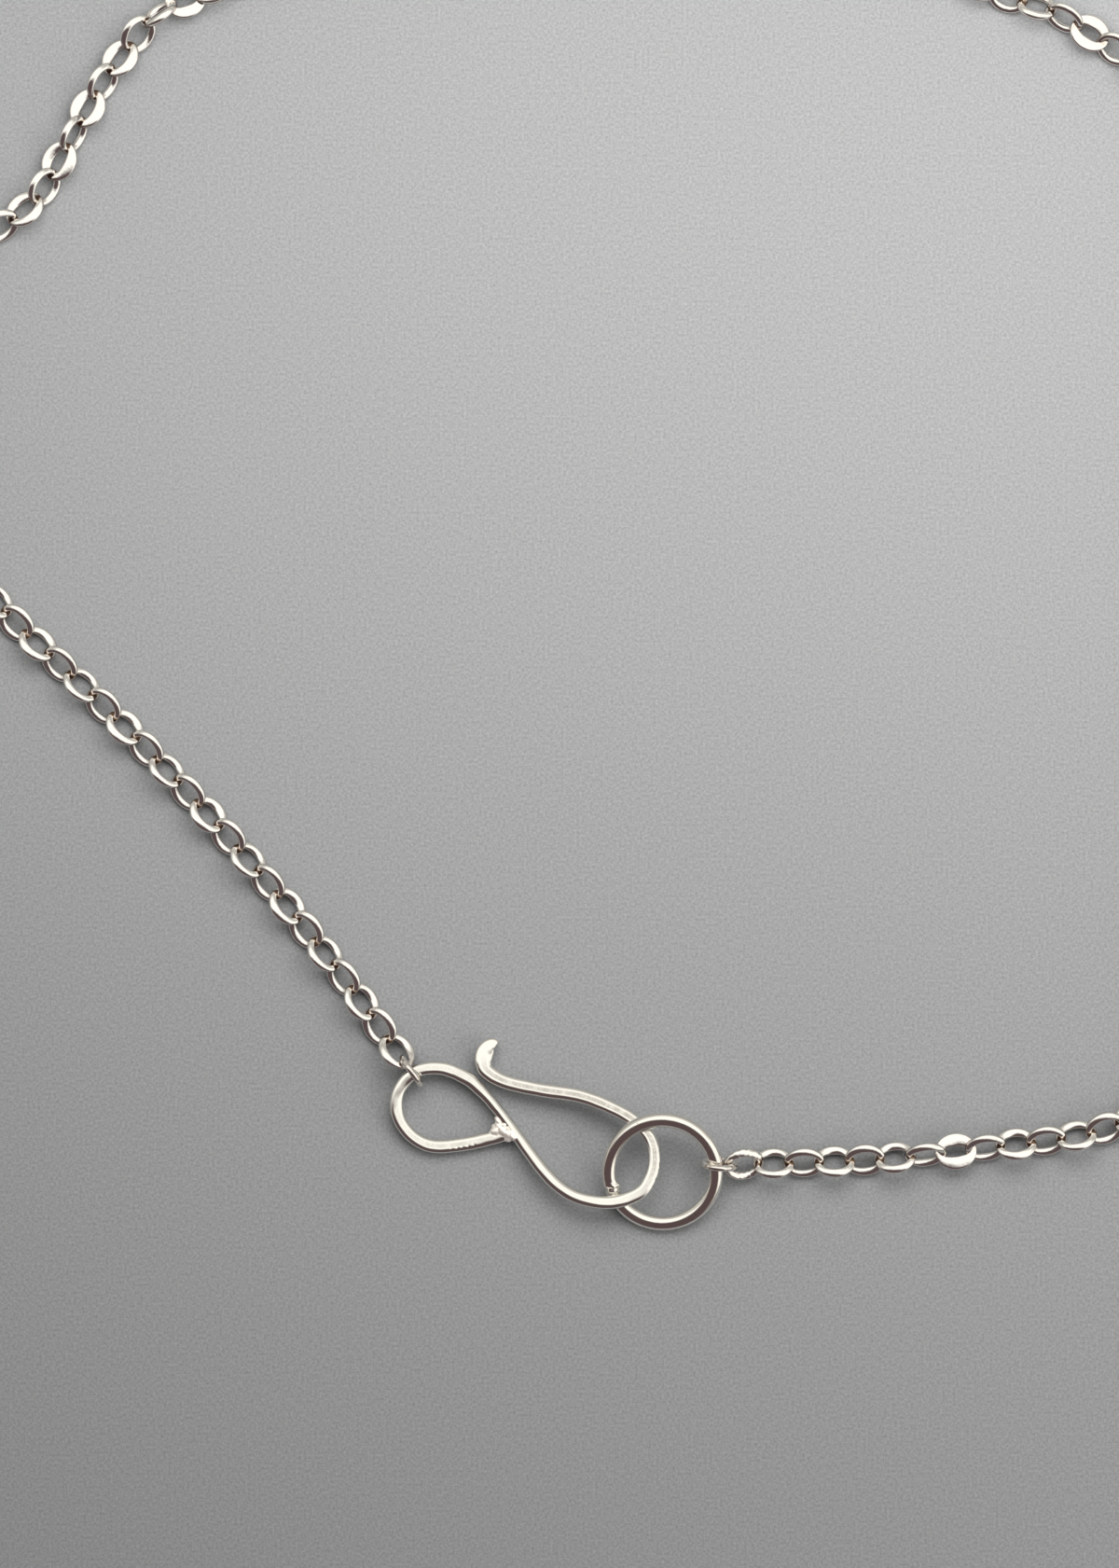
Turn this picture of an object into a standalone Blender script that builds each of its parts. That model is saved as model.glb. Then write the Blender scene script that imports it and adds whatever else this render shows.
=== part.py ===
# A flat cable chain necklace, closed by a hammered hook in a round ring, lying on a table.
# Lengths are in metres. Plan positions are measured from the centre of the clasp's ring.

import math

import bpy
import bmesh
from mathutils import Matrix, Vector

MM = 0.001

# Chain link: an oval of flattened wire. Its sides are widest on links that lie flat, which
# the hammer met squarely, and narrowest on those that stand on edge.
LINK_LENGTH = 3.98 * MM
LINK_WIDTH = 3.27 * MM
LINK_THICKNESS = 0.36 * MM
FLAT_SIDE_WIDTH = 0.92 * MM
EDGE_SIDE_WIDTH = 0.46 * MM
END_WIDTH = 0.605 * MM
WELD = 0.10 * MM
PITCH = LINK_LENGTH - 2 * END_WIDTH + WELD
SHOULDER = 0.20 * MM
LINK_SIDES = 10

# The links lean by turns to the left and to the right. Each row of TWISTS adds to that lean
# around one link: its number from the hook, the added degrees, and how many links it fades over.
LEAN_DEG = 43
LEAN_WAVE_DEG = 5
TWISTS = (
    (38.5, 38, 4.0),
    (43.5, -38, 1.3),
    (74.7, 38, 1.3),
    (120.0, -38, 1.3),
)

# Clasp ring: round wire. It leans on the hook's upper arm, so one side of it is lifted.
RING_RADIUS = 5.10 * MM
RING_WIRE_RADIUS = 0.56 * MM
RING_TILT_DEG = 16.5
RING_RISE_TOWARDS_DEG = 82
RING_HEIGHT = RING_WIRE_RADIUS + RING_RADIUS * math.sin(math.radians(RING_TILT_DEG))

# Small links at the two ends of the chain: round rings that stand on edge.
END_LINK_RADIUS = 1.47 * MM
END_LINK_WIRE_RADIUS = 0.28 * MM
END_LINK_SIDES = 14

# Hook: one wire, hammered flat on top and below.
HOOK_THICKNESS = 1.0 * MM
HOOK_FLAT_SHARE = 0.62
HOOK_EDGE_SHARE = 0.30
HOOK_TURN_DEG = 19
HOOK_REACH = 3.2 * MM
SOLDER_SIZE = (1.25 * MM, 0.85 * MM, 0.52 * MM)
SOLDER_TURN_DEG = 40
SOLDER_PLACE = (-14.95, 4.00)

# Clearances between pieces that only touch.
END_GAP = 0.18 * MM
MEETING_GAP = 0.05 * MM

# Hook's wire from its free tip, round the ring and the eye, back on to its own shank:
# x, y, height of the underside and width of the wire, in millimetres.
HOOK_WIRE = (
    (-15.59, 12.00, 0.55, 1.10),
    (-15.98, 12.12, 0.55, 1.55),
    (-16.53, 11.97, 0.55, 1.78),
    (-16.89, 11.41, 0.57, 1.80),
    (-17.03, 10.40, 0.60, 1.62),
    (-16.51, 9.41, 0.65, 1.46),
    (-14.79, 8.45, 0.75, 1.38),
    (-11.53, 7.71, 0.95, 1.34),
    (-7.66, 7.08, 1.20, 1.32),
    (-4.32, 5.76, 1.42, 1.26),
    (-2.26, 4.41, 1.56, 1.20),
    (-1.06, 2.85, 1.66, 1.12),
    (-0.78, 1.01, 1.72, 1.12),
    (-1.14, -0.54, 1.74, 1.14),
    (-2.10, -1.95, 1.74, 1.18),
    (-4.27, -2.82, 1.72, 1.22),
    (-6.52, -2.80, 1.62, 1.22),
    (-8.82, -2.04, 1.36, 1.24),
    (-10.95, -0.24, 1.02, 1.26),
    (-13.61, 3.25, 0.48, 1.16),
    (-15.18, 5.37, 0.40, 1.08),
    (-16.39, 6.84, 0.44, 1.12),
    (-17.49, 7.98, 0.54, 1.22),
    (-18.56, 8.85, 0.64, 1.34),
    (-20.78, 9.72, 0.80, 1.28),
    (-23.17, 9.47, 0.86, 1.22),
    (-24.75, 7.91, 0.70, 1.22),
    (-25.14, 6.23, 0.50, 1.22),
    (-24.66, 4.55, 0.29, 1.24),
    (-23.34, 3.09, 0.10, 1.26),
    (-21.48, 2.38, 0.02, 1.30),
    (-18.56, 2.62, 0.00, 1.32),
    (-15.90, 3.22, 0.16, 1.32),
    (-14.15, 3.70, 0.38, 1.20),
)

# Route of the chain in plan, in millimetres, between its end links, from the hook to the ring.
# The photograph shows the stretches at the left, the upper left, the upper right and the right.
CHAIN_ROUTE = (
    (-30.7, 19.1),
    (-38.0, 28.1),
    (-45.8, 36.8),
    (-54.2, 45.3),
    (-62.0, 52.7),
    (-68.0, 60.0),
    (-70.4, 69.5),
    (-69.2, 80.0),
    (-66.1, 87.4),
    (-61.6, 90.7),
    (-59.3, 92.7),
    (-55.7, 99.2),
    (-53.2, 103.8),
    (-49.8, 108.2),
    (-46.1, 111.3),
    (-27.4, 116.9),
    (-5.4, 118.9),
    (16.8, 116.9),
    (35.3, 111.2),
    (40.3, 108.7),
    (48.8, 102.0),
    (54.0, 87.2),
    (55.2, 54.5),
    (53.8, 22.6),
    (49.8, 8.8),
    (41.6, 4.0),
    (30.8, 2.3),
    (19.2, 1.1),
)

# Centres of the two end links, in millimetres, the directions from them along the chain, and
# how far each rolls over from standing up. The one at the hook stands on the table, and the
# other hangs in the lifted ring.
HOOK_END_LINK = (-23.71, 9.48, 1.76, 126, 0)
RING_END_LINK = (RING_RADIUS / MM + 0.22, 0.72, RING_HEIGHT / MM + 0.04, -4, 16)


def clear_scene():
    for obj in list(bpy.data.objects):
        bpy.data.objects.remove(obj, do_unlink=True)


def smooth(points, steps):
    """Points along a smooth curve through the given ones."""
    points = [Vector(p) for p in points]
    ends = [points[0] * 2 - points[1]] + points + [points[-1] * 2 - points[-2]]
    found = []
    for a, b, c, d in zip(ends, ends[1:], ends[2:], ends[3:]):
        for step in range(steps):
            t = step / steps
            found.append(
                0.5 * (2 * b + (c - a) * t + (2 * a - 5 * b + 4 * c - d) * t * t
                       + (3 * b - a - 3 * c + d) * t ** 3)
            )
    return found + [points[-1]]


def plan_length(a, b):
    return (b.xy - a.xy).length


def spaced(points, spacing):
    """Points at an even plan distance along a line of points, ends included."""
    total = sum(plan_length(a, b) for a, b in zip(points, points[1:]))
    count = round(total / spacing)
    step = total / count
    found, walked, due = [points[0]], 0.0, step
    for a, b in zip(points, points[1:]):
        piece = plan_length(a, b)
        while due <= walked + piece and len(found) < count:
            found.append(a.lerp(b, (due - walked) / piece))
            due += step
        walked += piece
    return found + [points[-1]]


def bend_points(points, turn_deg, reach):
    """The points where a line has turned by so much since the last one kept, or gone so far."""
    kept, turned, gone = [points[0]], 0.0, 0.0
    for a, b, c in zip(points, points[1:], points[2:]):
        turned += (b - a).xy.angle((c - b).xy)
        gone += plan_length(a, b)
        if turned > math.radians(turn_deg) or gone > reach:
            kept.append(b)
            turned, gone = 0.0, 0.0
    return kept + [points[-1]]


def material(name, colour, roughness):
    made = bpy.data.materials.new(name)
    made.use_nodes = True
    shader = made.node_tree.nodes["Principled BSDF"]
    shader.inputs["Base Color"].default_value = (*colour, 1)
    shader.inputs["Metallic"].default_value = 1
    shader.inputs["Roughness"].default_value = roughness
    return made


def mesh_object(name, mesh, collection):
    obj = bpy.data.objects.new(name, mesh)
    collection.objects.link(obj)
    return obj


def loft(mesh, rings, closed):
    """Adds a wire whose cross sections are the given rings of points."""
    rows = [[mesh.verts.new(p) for p in ring] for ring in rings]
    sides = len(rows[0])
    pairs = zip(rows, rows[1:] + rows[:1]) if closed else zip(rows, rows[1:])
    for first, second in pairs:
        for k in range(sides):
            j = (k + 1) % sides
            mesh.faces.new((first[k], first[j], second[j], second[k]))
    if not closed:
        mesh.faces.new(rows[0])
        mesh.faces.new(rows[-1][::-1])


def link_rings(frame, side_width):
    """Cross sections of one link: an apex inside, flat faces above, below and outside."""
    half = LINK_THICKNESS / 2
    rings = []
    for k in range(LINK_SIDES):
        angle = 2 * math.pi * (k + 0.5) / LINK_SIDES
        along, across = math.cos(angle), math.sin(angle)
        width = END_WIDTH + (side_width - END_WIDTH) * across ** 2
        centre = Vector(((LINK_LENGTH - END_WIDTH) / 2 * along / math.cos(math.pi / LINK_SIDES),
                         (LINK_WIDTH - side_width) / 2 * across, 0))
        out = Vector((along * LINK_WIDTH, across * LINK_LENGTH, 0)).normalized()
        up = Vector((0, 0, half))
        inner, outer = centre - out * width / 2, centre + out * width / 2
        shoulder = inner + out * SHOULDER
        ring = (inner, shoulder + up, outer + up, outer - up, shoulder - up)
        rings.append([frame @ p for p in ring])
    return rings


def lean_deg(number):
    """How far a link leans from lying flat."""
    side = -1 if number % 2 else 1
    lean = side * LEAN_DEG + LEAN_WAVE_DEG * math.sin(1.7 * number)
    for place, degrees, spread in TWISTS:
        lean += degrees * math.exp(-(((number - place) / spread) ** 2))
    return lean


def side_width(number):
    flatness = math.cos(math.radians(lean_deg(number))) ** 2
    return EDGE_SIDE_WIDTH + (FLAT_SIDE_WIDTH - EDGE_SIDE_WIDTH) * flatness


def height_needed(number):
    """Height at which a link's centre must be for its lower side to rest on the table."""
    lean = math.radians(lean_deg(number))
    return LINK_WIDTH / 2 * abs(math.sin(lean)) + LINK_THICKNESS / 2 * abs(math.cos(lean))


def chain_end(end_link):
    """Where the chain's last link hangs in an end link."""
    centre, turn = Vector(end_link[:3]) * MM, math.radians(end_link[3])
    inside = END_LINK_RADIUS * math.cos(math.pi / END_LINK_SIDES) - END_LINK_WIRE_RADIUS
    reach = inside - END_GAP - WELD / 2
    return centre + reach * Vector((math.cos(turn), math.sin(turn), 0))


def chain_joints():
    """Places where neighbouring links meet, from the hook's end to the ring's end."""
    route = [Vector((x * MM, y * MM, 0)) for x, y in CHAIN_ROUTE]
    route = [chain_end(HOOK_END_LINK)] + route + [chain_end(RING_END_LINK)]
    joints = spaced(smooth(route, 24), PITCH)
    for k, joint in enumerate(joints[1:-1], 1):
        joint.z = max(height_needed(k - 1), height_needed(k))
    return joints


def link_frame(start, end, number):
    along = (end - start).normalized()
    side = Vector((0, 0, 1)).cross(along).normalized()
    frame = Matrix.Identity(4)
    frame.col[0][:3] = along
    frame.col[1][:3] = side
    frame.col[2][:3] = along.cross(side)
    frame.translation = (start + end) / 2
    return frame @ Matrix.Rotation(math.radians(lean_deg(number)), 4, "X")


def chain_half(name, joints, numbers, nudge, parts, cutters):
    """One half of the chain, with its links joined where they touch."""
    meshes = [bmesh.new(), bmesh.new()]
    for number in numbers:
        start, end = joints[number], joints[number + 1]
        shift = nudge.get(number, 0.0) * (end - start).normalized()
        frame = link_frame(start + shift, end + shift, number)
        loft(meshes[number % 2], link_rings(frame, side_width(number)), True)
    made = []
    for mesh, collection in zip(meshes, (parts, cutters)):
        bmesh.ops.recalc_face_normals(mesh, faces=mesh.faces)
        data = bpy.data.meshes.new(name)
        mesh.to_mesh(data)
        mesh.free()
        made.append(mesh_object(name, data, collection))
    made[1].name = name + "_other_links"
    union(*made)
    return made[0]


def union(kept, other, with_itself=False):
    other.hide_render = True
    other.display_type = "WIRE"
    joined = kept.modifiers.new("joined", "BOOLEAN")
    joined.operation = "UNION"
    joined.solver = "EXACT"
    joined.use_self = with_itself
    joined.object = other


def hook_section(place, along, width):
    """Eight points round the hammered wire: flat above and below, rounded at its sides."""
    side = Vector((0, 0, 1)).cross(along).normalized()
    up = along.cross(side)
    half_width, half_height = width / 2, HOOK_THICKNESS / 2
    flat, edge = half_width * HOOK_FLAT_SHARE, half_height * HOOK_EDGE_SHARE
    outline = ((half_width, edge), (flat, half_height), (-flat, half_height), (-half_width, edge),
               (-half_width, -edge), (-flat, -half_height), (flat, -half_height),
               (half_width, -edge))
    return [place + side * x + up * z for x, z in outline]


def hook_clasp(parts, cutters):
    rows = [Vector((x, y, z, width)) * MM for x, y, z, width in HOOK_WIRE]
    rows = bend_points(smooth(rows, 16), HOOK_TURN_DEG, HOOK_REACH)
    places = [Vector((row[0], row[1], max(row[2], 0) + HOOK_THICKNESS / 2)) for row in rows]
    rings = []
    for k, place in enumerate(places):
        along = places[min(k + 1, len(places) - 1)] - places[max(k - 1, 0)]
        rings.append(hook_section(place, along.normalized(), rows[k][3]))
    mesh = bmesh.new()
    loft(mesh, rings, False)
    bmesh.ops.recalc_face_normals(mesh, faces=mesh.faces)
    data = bpy.data.meshes.new("hook_clasp")
    mesh.to_mesh(data)
    mesh.free()
    hook = mesh_object("hook_clasp", data, parts)

    solder_height = HOOK_WIRE[-1][2] * MM + HOOK_THICKNESS / 2
    bpy.ops.mesh.primitive_uv_sphere_add(
        segments=10,
        ring_count=6,
        location=(SOLDER_PLACE[0] * MM, SOLDER_PLACE[1] * MM, solder_height),
        rotation=(0, 0, math.radians(SOLDER_TURN_DEG)),
        scale=SOLDER_SIZE,
        radius=1,
    )
    solder = bpy.context.object
    move_to(solder, "hook_solder", cutters)
    union(hook, solder, with_itself=True)
    return hook


def move_to(obj, name, collection):
    obj.name = name
    obj.data.name = name
    for owner in list(obj.users_collection):
        owner.objects.unlink(obj)
    collection.objects.link(obj)


def round_ring(name, radius, wire_radius, sides, wire_sides, collection):
    bpy.ops.mesh.primitive_torus_add(
        major_radius=radius,
        minor_radius=wire_radius,
        major_segments=sides,
        minor_segments=wire_sides,
    )
    ring = bpy.context.object
    move_to(ring, name, collection)
    return ring


def clasp_ring(parts):
    ring = round_ring("clasp_ring", RING_RADIUS, RING_WIRE_RADIUS, 24, 8, parts)
    tilt = math.radians(RING_TILT_DEG)
    towards = math.radians(RING_RISE_TOWARDS_DEG)
    ring.location.z = RING_HEIGHT
    ring.rotation_euler = (
        Matrix.Rotation(towards, 3, "Z") @ Matrix.Rotation(-tilt, 3, "Y")
    ).to_euler()
    return ring


def end_link(name, place, parts):
    link = round_ring(name, END_LINK_RADIUS, END_LINK_WIRE_RADIUS, END_LINK_SIDES, 6, parts)
    link.location = Vector(place[:3]) * MM
    link.rotation_euler = (math.radians(90 + place[4]), 0, math.radians(place[3]))
    return link


def box_of(objects):
    bpy.context.view_layer.update()
    graph = bpy.context.evaluated_depsgraph_get()
    corners = [
        obj.matrix_world @ vertex.co
        for obj in objects
        for vertex in obj.evaluated_get(graph).data.vertices
    ]
    low = Vector(min(corner[k] for corner in corners) for k in range(3))
    high = Vector(max(corner[k] for corner in corners) for k in range(3))
    return low, high


def main():
    clear_scene()
    parts = bpy.data.collections.new("necklace")
    cutters = bpy.data.collections.new("joined shapes")
    for collection in (parts, cutters):
        bpy.context.scene.collection.children.link(collection)

    joints = chain_joints()
    count = len(joints) - 1
    middle = count // 2
    nodes = [
        hook_clasp(parts, cutters),
        clasp_ring(parts),
        end_link("hook_end_link", HOOK_END_LINK, parts),
        end_link("ring_end_link", RING_END_LINK, parts),
        chain_half("chain_hook_side", joints, range(middle), {}, parts, cutters),
        chain_half("chain_ring_side", joints, range(middle, count),
                   {middle: -WELD - MEETING_GAP}, parts, cutters),
    ]
    for node in nodes:
        node.data.materials.append(material(node.name, (0.93, 0.91, 0.88), 0.15))

    # The origin goes to the middle of the necklace's outline, on the table.
    low, high = box_of(nodes)
    for obj in (*parts.objects, *cutters.objects):
        obj.location -= Vector(((low.x + high.x) / 2, (low.y + high.y) / 2, low.z))


main()
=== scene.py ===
import math

import bmesh
import bpy
import numpy as np
from mathutils import Matrix, Vector, noise


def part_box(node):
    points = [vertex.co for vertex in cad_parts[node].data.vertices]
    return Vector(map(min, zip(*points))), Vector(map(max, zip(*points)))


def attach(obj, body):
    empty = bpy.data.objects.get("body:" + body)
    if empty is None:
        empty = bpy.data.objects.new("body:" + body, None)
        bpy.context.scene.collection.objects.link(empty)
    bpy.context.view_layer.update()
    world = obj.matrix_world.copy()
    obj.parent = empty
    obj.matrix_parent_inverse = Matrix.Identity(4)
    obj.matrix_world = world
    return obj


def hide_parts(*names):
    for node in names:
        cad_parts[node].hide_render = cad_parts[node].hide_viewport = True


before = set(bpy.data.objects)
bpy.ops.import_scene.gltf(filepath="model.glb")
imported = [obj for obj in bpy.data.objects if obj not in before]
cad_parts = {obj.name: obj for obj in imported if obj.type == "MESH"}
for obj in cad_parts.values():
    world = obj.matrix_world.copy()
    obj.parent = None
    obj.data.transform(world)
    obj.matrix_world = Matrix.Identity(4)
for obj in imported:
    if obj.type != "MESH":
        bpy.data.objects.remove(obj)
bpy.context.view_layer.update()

# The clasp's hook: one silver wire, drawn round, bent to an S with a closed eye, and planished
# on a steel block, so its bends are flat above and below while its straight shank stays round.
# The wire's end laps on to the shank at the eye, where silver solder fills the corner.
MM = 0.001
ring_low, ring_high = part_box("clasp_ring")
RING_CENTRE = Vector(((ring_low.x + ring_high.x) / 2, (ring_low.y + ring_high.y) / 2, 0))

HOOK_THICKNESS = 1.0
HOOK_STEP = 0.11
HOOK_SIDES = 40
# The struck faces lean a little to the far right, so they catch the light from there.
HOOK_FACING = Vector((0.10, 0.12, 1)).normalized()
# From the free tip, round the ring and the eye and back on to the shank: x, y, height of the
# underside, width, how much of the width the hammer has made flat, and how satin it left that.
HOOK_WIRE = (
    (-15.66, 11.90, 0.55, 0.98, 0.50, 0.0),
    (-15.96, 11.97, 0.55, 1.32, 0.54, 0.0),
    (-16.38, 11.76, 0.55, 1.56, 0.58, 0.0),
    (-16.72, 11.34, 0.55, 1.71, 0.60, 0.0),
    (-16.90, 10.80, 0.57, 1.71, 0.58, 0.1),
    (-16.90, 10.22, 0.60, 1.60, 0.52, 0.4),
    (-16.51, 9.41, 0.65, 1.46, 0.42, 0.8),
    (-14.79, 8.45, 0.75, 1.38, 0.40, 1.0),
    (-11.53, 7.71, 0.95, 1.34, 0.42, 1.0),
    (-7.66, 7.08, 1.20, 1.32, 0.44, 1.0),
    (-4.32, 5.76, 1.42, 1.26, 0.46, 1.0),
    (-2.26, 4.41, 1.56, 1.22, 0.52, 1.0),
    (-1.06, 2.85, 1.66, 1.16, 0.56, 1.0),
    (-0.78, 1.01, 1.72, 1.16, 0.60, 0.9),
    (-1.14, -0.54, 1.74, 1.18, 0.60, 0.7),
    (-2.10, -1.95, 1.74, 1.22, 0.58, 0.4),
    (-4.27, -2.82, 1.72, 1.24, 0.50, 0.2),
    (-6.52, -2.80, 1.62, 1.24, 0.36, 0.1),
    (-8.82, -2.04, 1.36, 1.24, 0.14, 0.1),
    (-10.95, -0.24, 1.02, 1.26, 0.08, 0.1),
    (-13.61, 3.25, 0.48, 1.16, 0.06, 0.1),
    (-15.18, 5.37, 0.40, 1.08, 0.06, 0.1),
    (-16.39, 6.84, 0.44, 1.12, 0.10, 0.1),
    (-17.49, 7.98, 0.54, 1.22, 0.18, 0.2),
    (-18.56, 8.85, 0.66, 1.34, 0.32, 0.3),
    (-20.78, 9.72, 0.76, 1.28, 0.44, 0.3),
    (-23.17, 9.47, 0.72, 1.22, 0.46, 0.3),
    (-24.75, 7.91, 0.58, 1.22, 0.46, 0.3),
    (-25.14, 6.23, 0.49, 1.22, 0.46, 0.3),
    (-24.66, 4.55, 0.39, 1.24, 0.46, 0.3),
    (-23.34, 3.09, 0.22, 1.26, 0.44, 0.4),
    (-21.48, 2.38, 0.08, 1.30, 0.44, 0.6),
    (-18.56, 2.62, 0.00, 1.32, 0.44, 0.6),
    (-15.90, 3.22, 0.16, 1.32, 0.42, 0.5),
    (-14.15, 3.70, 0.38, 1.20, 0.38, 0.4),
)
# The part of the width, about the middle, that the hammer has made satin, and how squarely a
# face has to look up or down for that.
STRUCK_SHARE = 0.36
STRUCK_FACING = 0.7
# How much the two ends are drawn in, and how soon along the wire that ends.
END_DRAWN_IN = 0.16
END_DRAWN_IN_LENGTH = 0.10
# How much the hammer thinned the wire, and the unevenness that it left, once in about 0.9 mm.
HAMMERED_THINNER = 0.02
HAMMERED_UNEVEN = 0.025
HAMMER_BLOWS_PER_MM = 1.1
# Over how many rows the bending is evened out, and the part of the bend's own radius that the
# wire's inner side may reach.
BENDING_ROWS = 9
BEND_REACH = 0.85
# Marks that the pliers left across the eye's lower arm: x of each, and its depth.
PLIER_MARKS = ((-20.0, 0.020), (-19.45, 0.030), (-18.95, 0.022), (-18.4, 0.032), (-17.85, 0.024))
PLIER_MARK_WIDTH = 0.07
PLIER_MARK_SLANT = 0.18
# The lower arm is the last part of the wire, up to this y.
LOWER_ARM_FROM = 0.8
LOWER_ARM_TOP = 3.4
# How far back the inner edge of the tip is cut, and how soon along the wire that ends.
TIP_SLANT = 0.10
TIP_SLANT_END = 0.65
# Nicks that the hammer's edge left along the outside of the bend: y of each, and its depth.
HAMMER_NICKS = ((1.9, 0.03), (0.75, 0.05), (0.25, 0.04), (-0.5, 0.05), (-1.1, 0.03))
HAMMER_NICK_WIDTH = 0.12
# The bend is what lies right of this x and above this y.
BEND_LEFT = -3.0
BEND_BOTTOM = -2.2


def to_row(x, y, z):
    """A place on the maker's drawing, in millimetres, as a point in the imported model's frame."""
    return RING_CENTRE + Vector((x, y, z)) * MM


def linear(hex_colour):
    """An sRGB hex colour as the linear colour that a shader's socket takes."""
    parts = [int(hex_colour[k:k + 2], 16) / 255 for k in (1, 3, 5)]
    return [c / 12.92 if c <= 0.04045 else ((c + 0.055) / 1.055) ** 2.4 for c in parts] + [1.0]


def add_node(tree, kind, settings=None, **links):
    """Adds a node with its settings and its inputs, each a value or another node's output."""
    node = tree.nodes.new(kind)
    for name, value in (settings or {}).items():
        setattr(node, name, value)
    for name, value in links.items():
        # An input without a name of its own is given by its number, as in _0.
        key = int(name[1:]) if name[1:].isdigit() else name.replace("_", " ")
        socket = node.inputs[key]
        if isinstance(value, bpy.types.NodeSocket):
            tree.links.new(value, socket)
        else:
            socket.default_value = value
    return node


def set_ramp(node, *stops):
    """Gives a colour ramp its stops: place and sRGB hex colour of each."""
    while len(node.color_ramp.elements) > 1:
        node.color_ramp.elements.remove(node.color_ramp.elements[-1])
    for k, (place, colour) in enumerate(stops):
        stop = node.color_ramp.elements[0] if k == 0 else node.color_ramp.elements.new(place)
        stop.position = place
        stop.color = linear(colour)
    return node.outputs["Color"]


def smooth(points, steps):
    """Points along a smooth curve through the given ones, as rows of numbers."""
    points = np.array(points, float)
    ends = np.vstack([2 * points[0] - points[1], points, 2 * points[-1] - points[-2]])
    found = []
    for a, b, c, d in zip(ends, ends[1:], ends[2:], ends[3:]):
        for step in range(steps):
            t = step / steps
            found.append(
                0.5 * (2 * b + (c - a) * t + (2 * a - 5 * b + 4 * c - d) * t * t
                       + (3 * b - a - 3 * c + d) * t ** 3)
            )
    return np.array(found + [points[-1]])


def even_rows(rows, step):
    """The same line with rows an even plan distance apart."""
    gone = np.concatenate([[0], np.cumsum(np.hypot(*np.diff(rows[:, :2], axis=0).T))])
    due = np.linspace(0, gone[-1], round(gone[-1] / step) + 1)
    return np.stack([np.interp(due, gone, column) for column in rows.T], axis=1)


def wire_section(half_width, half_height, flat_share, sides):
    """Points round a planished wire, as across and up: from an ellipse for a flat share of 0 to
    a box with soft shoulders for 1."""
    turn = 2 * math.pi * (np.arange(sides) + 0.5) / sides
    squared = 1 - 0.75 * flat_share
    across = half_width * np.sign(np.cos(turn)) * np.abs(np.cos(turn)) ** squared
    up = half_height * np.sign(np.sin(turn)) * np.abs(np.sin(turn)) ** squared
    return turn, across, up


def add_wire(mesh, rings, closed):
    """Adds the skin of a wire whose cross sections are the given rings of points."""
    rows = [[mesh.verts.new(p) for p in ring] for ring in rings]
    sides = len(rows[0])
    pairs = zip(rows, rows[1:] + rows[:1]) if closed else zip(rows, rows[1:])
    for first, second in pairs:
        for k in range(sides):
            j = (k + 1) % sides
            mesh.faces.new((first[k], first[j], second[j], second[k]))
    if not closed:
        mesh.faces.new(rows[0])
        mesh.faces.new(rows[-1][::-1])


def piece_from(mesh, name, material):
    """Makes a smooth-shaded object of a mesh, in the scene, with its material."""
    bmesh.ops.recalc_face_normals(mesh, faces=mesh.faces)
    data = bpy.data.meshes.new(name)
    mesh.to_mesh(data)
    mesh.free()
    data.shade_smooth()
    data.materials.append(material)
    piece = bpy.data.objects.new(name, data)
    bpy.context.scene.collection.objects.link(piece)
    return piece


def planished_silver():
    """Sterling silver struck with a hammer: its faces are satin, with a fine grain of tiny dents
    and faint warm clouds of tarnish, between rims and sides that keep a bright polish."""
    made = bpy.data.materials.new("planished_silver")
    made.use_nodes = True
    tree = made.node_tree
    shader = tree.nodes["Principled BSDF"]
    shader.inputs["Metallic"].default_value = 1
    place = add_node(tree, "ShaderNodeTexCoord").outputs["Object"]
    struck = add_node(tree, "ShaderNodeAttribute", {"attribute_name": "struck"}).outputs["Fac"]
    # Clouds about 0.8 mm across, and dents about 0.2 mm across, near the render's own pixels.
    clouds = add_node(tree, "ShaderNodeTexNoise", Vector=place, Scale=1250, Detail=3, Roughness=0.6)
    dents = add_node(tree, "ShaderNodeTexNoise", Vector=place, Scale=5500, Detail=2, Roughness=0.6)
    grain = add_node(tree, "ShaderNodeMath", {"operation": "MULTIPLY_ADD"},
                     _0=dents.outputs["Fac"], _1=0.6, _2=clouds.outputs["Fac"])
    face = add_node(tree, "ShaderNodeValToRGB", Fac=grain.outputs["Value"])
    colour = add_node(tree, "ShaderNodeMix", {"data_type": "RGBA"}, Factor=struck,
                      _6=linear("#F8F6F0"),
                      _7=set_ramp(face, (0.62, "#BFBBB4"), (0.8, "#D0CCC5"), (0.98, "#E6E3DC")))
    tree.links.new(colour.outputs[2], shader.inputs["Base Color"])
    satin = add_node(tree, "ShaderNodeMapRange", Value=struck, To_Min=0.06, To_Max=0.2)
    tree.links.new(satin.outputs["Result"], shader.inputs["Roughness"])
    depth = add_node(tree, "ShaderNodeMath", {"operation": "MULTIPLY"},
                     _0=dents.outputs["Fac"], _1=struck)
    relief = add_node(tree, "ShaderNodeBump", Height=depth.outputs["Value"], Strength=0.4,
                      Distance=0.00002)
    tree.links.new(relief.outputs["Normal"], shader.inputs["Normal"])
    return made


def bell(distance, width):
    """A soft bump: 1 where the distance is 0, and almost 0 from two widths away."""
    return np.exp(-((distance / width) ** 2))


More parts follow.
